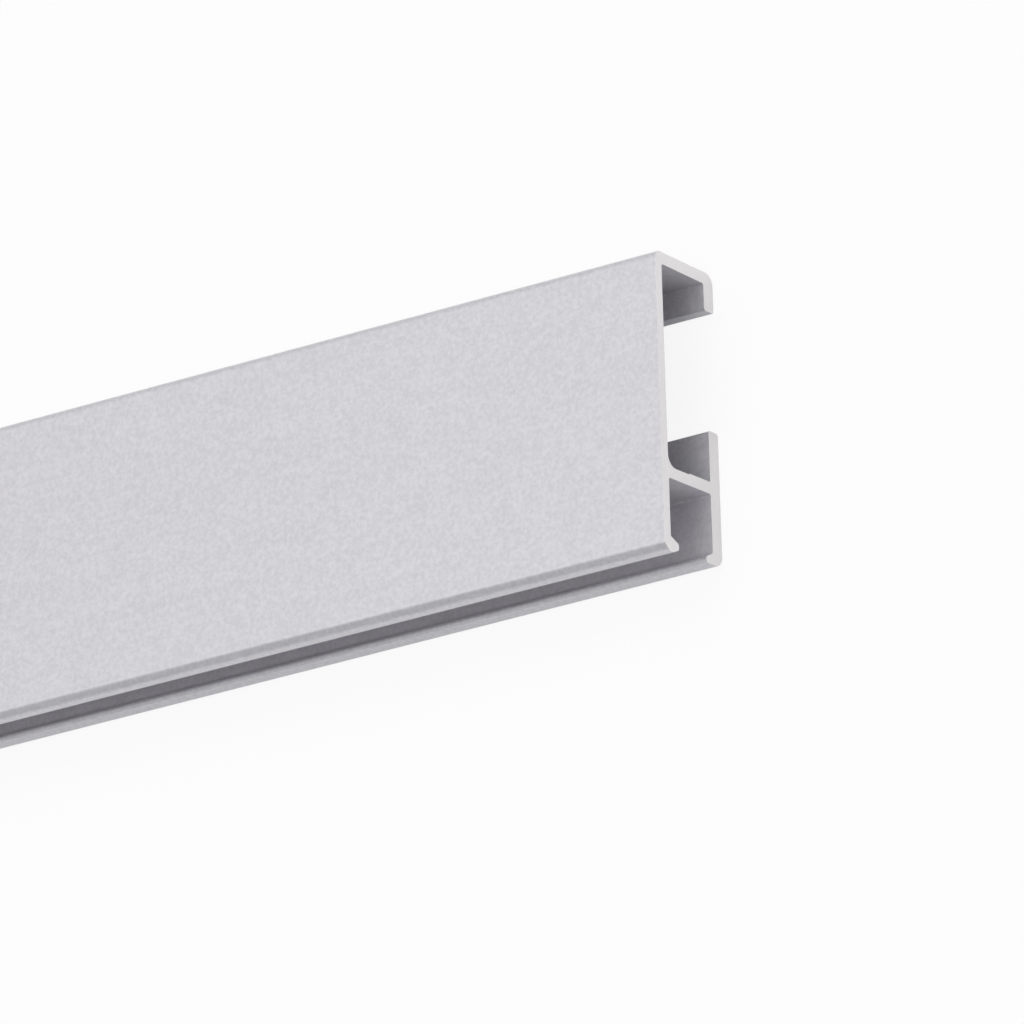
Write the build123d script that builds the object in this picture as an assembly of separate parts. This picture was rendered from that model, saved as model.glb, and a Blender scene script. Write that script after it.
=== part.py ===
from build123d import *
import math
import os

# Picture rail: one thin-walled aluminium extrusion that clicks onto clips on a wall.
# It lies on its back: X runs along it, Y goes from its foot to its top, and Z out of its face.
# The origin is under the middle of the rail, on the surface that it lies on.

# Overall sizes, in millimetres
rail_length = 1000.0
rail_height = 25.0
rail_depth = 8.0

# Walls
face_wall = 0.85          # the plate that shows
top_wall = 1.0
back_wall = 1.3           # the hook and the back plate, which lie against the wall
web_wall = 0.93

# Clip recess, above the web and open at the back
hook_drop = 3.24          # from the top of the rail to the end of the hook
clip_mouth = 10.11        # from the end of the hook to the back plate

# Web between the recess and the hanger channel
web_height = 6.15         # its underside, where it meets the face
web_rise = 0.18           # how far it climbs towards the back
web_step = 0.08           # step halfway along its upper side

# Toe, the lip that turns in and up below the face
toe_reach = 1.93          # from the front of the face
toe_wall = 0.49           # at its tip
toe_slope = 25.3          # its underside, in degrees
toe_kick = 0.44           # how much higher its upper side is behind the face
bevel_height = 0.59       # bevel between the face and the sole
bevel_depth = 0.59
sole_flat = 0.005         # what the roundings on both sides leave of the lowest strip

# Foot, the lip that turns out below the back plate
foot_reach = 2.38         # from the back of the rail, before its tip is rounded
foot_wall = 0.4           # at its tip
foot_nose = 0.27          # how far its underside ends behind its tip
foot_lift = 0.44          # its underside, above the sole
foot_slope = 26.0         # its upper side, in degrees

# Corners
face_edge_radius = 0.65   # face to top
back_edge_radius = 1.0    # top to hook, and back plate to foot
bevel_radius = 0.3        # face to bevel
sole_radius = 0.9
lip_radius = 0.22         # end of the hook, edge of the back plate
toe_radius = 0.4 * toe_wall
foot_radius = 0.7 * foot_wall
nose_radius = 0.45 * foot_wall    # tip of the foot, below
root_radius = 0.2         # inside corners
web_root_radius = 1.0     # upper side of the web to the face
foot_root_radius = 0.4    # upper side of the foot to the back plate

# Heights above the sole and depths in from the back, worked out from the sizes above
face_inside = rail_depth - face_wall
top_inside = rail_height - top_wall
hook_end = rail_height - hook_drop
plate_edge = hook_end - clip_mouth
web_middle = (back_wall + face_inside) / 2
web_top = web_height + web_wall
web_top_middle = web_top + web_rise / 2
web_top_back = web_top + web_rise + web_step
sole_front = rail_depth - bevel_depth
bevel_turn = math.atan2(bevel_height, bevel_depth)
toe_turn = math.radians(toe_slope)
rounding = sole_radius * (math.tan(bevel_turn / 2) + math.tan(toe_turn / 2))
sole_back = sole_front - rounding - sole_flat
toe_tip = rail_depth - toe_reach
toe_lift = (sole_back - toe_tip) * math.tan(toe_turn)
toe_top = toe_lift + toe_wall
toe_root = toe_top + toe_kick
nose_end = foot_reach - foot_nose
foot_top = foot_lift + foot_wall
foot_root = foot_top + (foot_reach - back_wall) * math.tan(math.radians(foot_slope))


def wall(low, high):
    """A straight wall of the section, between two opposite corners."""
    with Locations(low):
        Rectangle(high[0] - low[0], high[1] - low[1], align=Align.MIN)


def round_corner(height, depth, radius):
    """Round the corner of the section that lies at this height and depth."""
    corner = vertices().sort_by_distance((height, depth, 0))[0]
    fillet(corner, radius)


def draw_walls():
    """The face, the top flange with its hook, and the back plate."""
    wall((bevel_height, face_inside), (rail_height, rail_depth))
    wall((top_inside, 0), (rail_height, rail_depth))
    wall((hook_end, 0), (rail_height, back_wall))
    wall((foot_lift, 0), (plate_edge, back_wall))


def draw_web():
    """The web across the section, a little thicker behind its step."""
    Polygon(
        (web_height, face_inside),
        (web_height + web_rise, back_wall),
        (web_top_back, back_wall),
        (web_top_middle + web_step, web_middle),
        (web_top_middle, web_middle),
        (web_top, face_inside),
        align=None,
    )


def draw_lips():
    """The toe and the foot, with the slot for the hangers between them."""
    Polygon(
        (toe_root, rail_depth),
        (bevel_height, rail_depth),
        (0, sole_front),
        (0, sole_back),
        (toe_lift, toe_tip),
        (toe_top, toe_tip),
        (toe_root, face_inside),
        align=None,
    )
    Polygon(
        (foot_lift, 0),
        (foot_lift, nose_end),
        (foot_top, foot_reach),
        (foot_root, back_wall),
        (foot_root, 0),
        align=None,
    )


def round_outer_corners():
    """Edges that a hand or the wall meets."""
    round_corner(rail_height, rail_depth, face_edge_radius)
    round_corner(rail_height, 0, back_edge_radius)
    round_corner(foot_lift, 0, back_edge_radius)
    for height in (hook_end, plate_edge):
        for depth in (0, back_wall):
            round_corner(height, depth, lip_radius)
    round_corner(bevel_height, rail_depth, bevel_radius)
    round_corner(0, sole_front, sole_radius)
    round_corner(0, sole_back, sole_radius)
    for height in (toe_lift, toe_top):
        round_corner(height, toe_tip, toe_radius)
    round_corner(foot_lift, nose_end, nose_radius)
    round_corner(foot_top, foot_reach, foot_radius)


def round_inner_corners():
    """Roots of the walls inside the recess and the channel."""
    for height in (top_inside, web_height, toe_root):
        round_corner(height, face_inside, root_radius)
    for height in (top_inside, web_top_back, web_height + web_rise):
        round_corner(height, back_wall, root_radius)
    round_corner(web_top, face_inside, web_root_radius)
    round_corner(foot_root, back_wall, foot_root_radius)


section_plane = Plane(
    origin=(-rail_length / 2, -rail_height / 2, 0), x_dir=(0, 1, 0), z_dir=(1, 0, 0)
)

with BuildPart() as rail:
    with BuildSketch(section_plane):
        draw_walls()
        draw_web()
        draw_lips()
        round_outer_corners()
        round_inner_corners()
    extrude(amount=rail_length)

rail.part.label = "rail_profile"
os.makedirs("parts", exist_ok=True)
export_step(rail.part, "parts/rail_profile.step")
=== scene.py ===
import math
import bpy
import numpy as np
from mathutils import Matrix, Vector


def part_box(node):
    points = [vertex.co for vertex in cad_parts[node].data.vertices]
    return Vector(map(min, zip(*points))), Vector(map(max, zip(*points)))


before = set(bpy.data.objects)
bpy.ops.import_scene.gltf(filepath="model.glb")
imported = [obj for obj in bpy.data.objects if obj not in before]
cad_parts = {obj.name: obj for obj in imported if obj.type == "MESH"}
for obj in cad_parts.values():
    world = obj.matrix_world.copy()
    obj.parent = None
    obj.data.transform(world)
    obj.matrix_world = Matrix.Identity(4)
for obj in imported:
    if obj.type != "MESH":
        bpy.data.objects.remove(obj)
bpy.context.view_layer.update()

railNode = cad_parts["rail_profile"]
railLow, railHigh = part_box("rail_profile")
railSize = [round(1000 * (high - low), 2) for low, high in zip(railLow, railHigh)]
print("rail loaded:", railSize, "mm")


class Value:
    # a node's output, so that plain sums on values add Math nodes
    def __init__(self, book, socket):
        self.book = book
        self.socket = socket

    def sum(self, operation, first, second=0.0):
        inputs = {0: first, 1: second}
        return self.book.add("ShaderNodeMath", {"operation": operation}, inputs)

    def __add__(self, other):
        return self.sum("ADD", self, other)

    def __radd__(self, other):
        return self.sum("ADD", other, self)

    def __sub__(self, other):
        return self.sum("SUBTRACT", self, other)

    def __rsub__(self, other):
        return self.sum("SUBTRACT", other, self)

    def __mul__(self, other):
        return self.sum("MULTIPLY", self, other)

    def __rmul__(self, other):
        return self.sum("MULTIPLY", other, self)

    def __truediv__(self, other):
        return self.sum("DIVIDE", self, other)

    def __rtruediv__(self, other):
        return self.sum("DIVIDE", other, self)

    def __gt__(self, other):
        return self.sum("GREATER_THAN", self, other)

    def __abs__(self):
        return self.sum("ABSOLUTE", self)


class NodeBook:
    # the nodes of one material or world; a list of outputs gives back a list of values
    def __init__(self, tree):
        self.tree = tree
        tree.nodes.clear()

    def add(self, kind, settings=None, inputs=None, output=0):
        node = self.tree.nodes.new(kind)
        for name, value in (settings or {}).items():
            setattr(node, name, value)
        for name, value in (inputs or {}).items():
            if isinstance(value, Value):
                self.tree.links.new(value.socket, node.inputs[name])
            else:
                node.inputs[name].default_value = value
        if isinstance(output, list):
            return [Value(self, node.outputs[name]) for name in output]
        return Value(self, node.outputs[output]) if node.outputs else node

    def mixColours(self, factor, first, second):
        inputs = {0: factor, 6: first, 7: second}      # the colour sockets of a Mix node
        return self.add("ShaderNodeMix", {"data_type": "RGBA"}, inputs, output=2)

    def noise(self, place, scale, detail=2.0, roughness=0.5):
        inputs = {"Vector": place, "Scale": scale, "Detail": detail, "Roughness": roughness}
        return self.add("ShaderNodeTexNoise", {}, inputs)

    def mapped(self, place, scale, shift=(0.0, 0.0, 0.0)):
        inputs = {"Vector": place, "Location": shift, "Scale": scale}
        return self.add("ShaderNodeMapping", {}, inputs)

    def vectorSum(self, operation, first, second=(0.0, 0.0, 0.0)):
        inputs = {0: first, 1: second}
        return self.add("ShaderNodeVectorMath", {"operation": operation}, inputs, output="Value")


def newMaterial(name):
    material = bpy.data.materials.new(name)
    material.use_nodes = True
    return material, NodeBook(material.node_tree)


# Finish of the rail: matt anodised all round, bare metal where it was sawn
finish = {
    "anodised": (0.785, 0.775, 0.81, 1.0),
    "anodisedDark": (0.68, 0.67, 0.705, 1.0),
    "bare": (0.96, 0.94, 0.945, 1.0),
    "bareDark": (0.88, 0.86, 0.865, 1.0),
    "metallic": 0.55,          # the rest is the milky skin, which scatters light
    "bareMetallic": 0.8,
    "roughness": 0.42,
    "grainRoughness": 0.10,    # how far the grain and the lines change it
    "lineRoughness": 0.06,
    "grain": 2800.0,           # specks to the metre
    "mottle": 420.0,           # cloudy patches to the metre
    "dieLines": 2600.0,        # lines to the metre across the rail
    "lineDrift": 0.004,        # a line's change along the rail, as a share of that across it
    "shares": (0.78, 0.1, 0.12),    # of grain, mottle and lines in the shade
    "shadeLow": 0.35,          # their sum where the skin is darkest
    "shadeSpan": 0.3,          # and what it rises by to where it is lightest
    "lineRelief": 0.4,         # height of the lines against the grain's
    "bumpStrength": 0.35,
    "bumpDistance": 0.00001,
    "sawMarks": 4500.0,        # to the metre, outwards from the middle of the blade
    "sawDepth": 0.00001,       # what lies this near to an end is sawn
    "bladeShift": (0.0, 0.09, -0.07),    # brings the middle of the blade to the origin
}


def railMaterial():
    material, book = newMaterial("satinAnodised")
    place = book.add("ShaderNodeTexCoord", output="Object")
    grain = book.noise(place, finish["grain"], roughness=0.6)
    mottle = book.noise(place, finish["mottle"])
    drawn = book.mapped(place, (finish["lineDrift"], 1.0, 1.0))
    lines = book.noise(drawn, finish["dieLines"], detail=3.0)

    # sawn where |x| comes within the saw depth of half the length
    along = book.add("ShaderNodeSeparateXYZ", {}, {0: place}, output=0)
    sawn = abs(along) > railHigh.x - finish["sawDepth"]
    away = book.mapped(place, (0.0, 1.0, 1.0), finish["bladeShift"])
    radius = book.vectorSum("LENGTH", away)
    marks = book.add(
        "ShaderNodeTexNoise",
        {"noise_dimensions": "1D"},
        {"W": radius * finish["sawMarks"], "Scale": 1.0, "Detail": 2.0},
    )

    # shade = (sum of the three noises by their shares - low) / span
    grainShare, mottleShare, lineShare = finish["shares"]
    mixture = grainShare * grain + mottleShare * mottle + lineShare * lines
    shade = (mixture - finish["shadeLow"]) / finish["shadeSpan"]
    skin = book.mixColours(shade, finish["anodisedDark"], finish["anodised"])
    bare = book.mixColours(0.5 * marks + 0.5 * grain, finish["bareDark"], finish["bare"])
    colour = book.mixColours(sawn, skin, bare)

    # the noises lie about a half, so what they add to the roughness lies about nothing
    rough = finish["roughness"] + finish["grainRoughness"] * (grain - 0.5)
    rough = rough + finish["lineRoughness"] * (lines - 0.5)
    metallic = finish["metallic"] + (finish["bareMetallic"] - finish["metallic"]) * sawn
    relief = (1.0 - sawn) * (grain + finish["lineRelief"] * lines) + sawn * marks
    strength, distance = finish["bumpStrength"], finish["bumpDistance"]
    bump = book.add(
        "ShaderNodeBump",
        {},
        {"Strength": strength, "Distance": distance, "Height": relief},
    )
    shader = book.add(
        "ShaderNodeBsdfPrincipled",
        {},
        {"Base Color": colour, "Metallic": metallic, "Roughness": rough, "Normal": bump},
    )
    book.add("ShaderNodeOutputMaterial", {}, {"Surface": shader})
    return material


railNode.material_slots[0].material = railMaterial()
print("rail finished")


# Plain pale floor
floor = {
    "reach": 120.0,      # metres from the middle to each side
    "drop": 0.00005,     # below the rail, so that the two faces don't fight
    "colour": (0.9, 0.9, 0.9, 1.0),
    "glow": 0.90,        # share of plain white that the camera sees, the rest takes shadow
    "glossyGlow": 0.25,  # the same in reflections
}


def whiteShare(book, seen, mirrored):
    # share of plain white: one for what the camera sees, one for what shows in metal or glass
    rays = ["Is Camera Ray", "Is Glossy Ray", "Is Transmission Ray"]
    camera, glossy, through = book.add("ShaderNodeLightPath", output=rays)
    return seen * camera + mirrored * (glossy + through)


def makeFloor():
    corners = np.array([(-1, -1), (1, -1), (1, 1), (-1, 1)]) * floor["reach"]
    corners = np.column_stack([corners, np.full(4, -floor["drop"])])
    mesh = bpy.data.meshes.new("floor")
    mesh.from_pydata(corners.tolist(), [], [(0, 1, 2, 3)])
    obj = bpy.data.objects.new("floor", mesh)
    bpy.context.scene.collection.objects.link(obj)
    material, book = newMaterial("paleFloor")
    plain = book.add("ShaderNodeBsdfDiffuse", {}, {"Color": floor["colour"]})
    white = book.add("ShaderNodeEmission", {}, {"Color": (1, 1, 1, 1), "Strength": 1.0})
    share = whiteShare(book, floor["glow"], floor["glossyGlow"])
    mixed = book.add("ShaderNodeMixShader", {}, {0: share, 1: plain, 2: white})
    book.add("ShaderNodeOutputMaterial", {}, {"Surface": mixed})
    mesh.materials.append(material)


makeFloor()
print("floor made")


# Soft panels overhead, in an even fill from all round
studio = {
    "fill": 0.12,
    "glossyGlow": 0.1,   # share of plain white in reflections, all of it for the camera
    "panels": [          # towards, cosine of its edge, level in its middle
        ((0.19, 0.32, 0.93), 0.93, 2.2),
        ((-0.19, 0.32, 0.93), 0.93, 0.8),
        ((-0.37, 0.0, 0.93), 0.93, 0.8),
        ((0.37, 0.0, 0.93), 0.93, 1.2),
        ((0.19, -0.32, 0.93), 0.93, 2.6),
        ((-0.53, 0.33, 0.78), 0.93, 0.45),
        ((0.0, 0.71, 0.71), 0.90, 1.4),
        ((-0.71, 0.0, 0.71), 0.90, 0.3),
        ((-0.50, -0.50, 0.71), 0.90, 0.3),
        ((0.0, -0.71, 0.71), 0.90, 1.0),
        ((-0.30, 0.90, 0.30), 0.70, 0.32),
        ((0.95, -0.10, 0.15), 0.80, 0.2),
    ],
}


def makeWorld():
    world = bpy.data.worlds.new("studio")
    bpy.context.scene.world = world
    world.use_nodes = True
    book = NodeBook(world.node_tree)
    direction = book.add("ShaderNodeTexCoord", output="Generated")

    # level = fill + each panel's, which rises smoothly from its edge to its middle
    level = studio["fill"]
    for towards, edge, middle in studio["panels"]:
        nearness = book.vectorSum("DOT_PRODUCT", direction, towards)
        share = book.add(
            "ShaderNodeMapRange",
            {"interpolation_type": "SMOOTHSTEP"},
            {"Value": nearness, "From Min": edge, "From Max": 1.0, "To Max": middle},
        )
        level = level + share
    level = level + whiteShare(book, 1.0, studio["glossyGlow"]) * (1.0 - level)
    light = book.add("ShaderNodeBackground", {}, {"Color": (1, 1, 1, 1), "Strength": level})
    book.add("ShaderNodeOutputWorld", {}, {"Surface": light})


makeWorld()
print("light made")


# The photograph's view: before the face, to the right of the sawn end and a little towards its foot
view = {
    "azimuth": 58.33,
    "elevation": 51.12,
    "roll": -66.13,      # turned so that the rail's top edge is up in the picture
    "distance": 1.1294,
    "lens": 505.9,
    "sensor": 36.0,
    "clip": (0.05, 500.0),
    "right": -0.01162,   # how far the camera stands off the line to the sawn end
    "up": -0.00893,
}


def makeCamera():
    angles = ("azimuth", "elevation", "roll")
    azimuth, elevation, roll = (math.radians(view[name]) for name in angles)
    back = Vector((
        math.sin(azimuth) * math.cos(elevation),
        -math.cos(azimuth) * math.cos(elevation),
        math.sin(elevation),
    ))
    level = Vector((0, 0, 1)).cross(back).normalized()
    upright = back.cross(level)
    right = level * math.cos(roll) + upright * math.sin(roll)
    up = back.cross(right)
    aim = Vector((railHigh.x, (railLow.y + railHigh.y) / 2, railHigh.z))
    stand = aim + back * view["distance"] + right * view["right"] + up * view["up"]
    turn = Matrix((right, up, back)).transposed().to_4x4()
    data = bpy.data.cameras.new("camera")
    data.lens = view["lens"]
    data.sensor_width = view["sensor"]
    data.clip_start, data.clip_end = view["clip"]
    camera = bpy.data.objects.new("camera", data)
    camera.matrix_world = Matrix.Translation(stand) @ turn
    bpy.context.scene.collection.objects.link(camera)
    bpy.context.scene.camera = camera


makeCamera()
bpy.context.scene.view_settings.view_transform = "Standard"
print("camera placed")
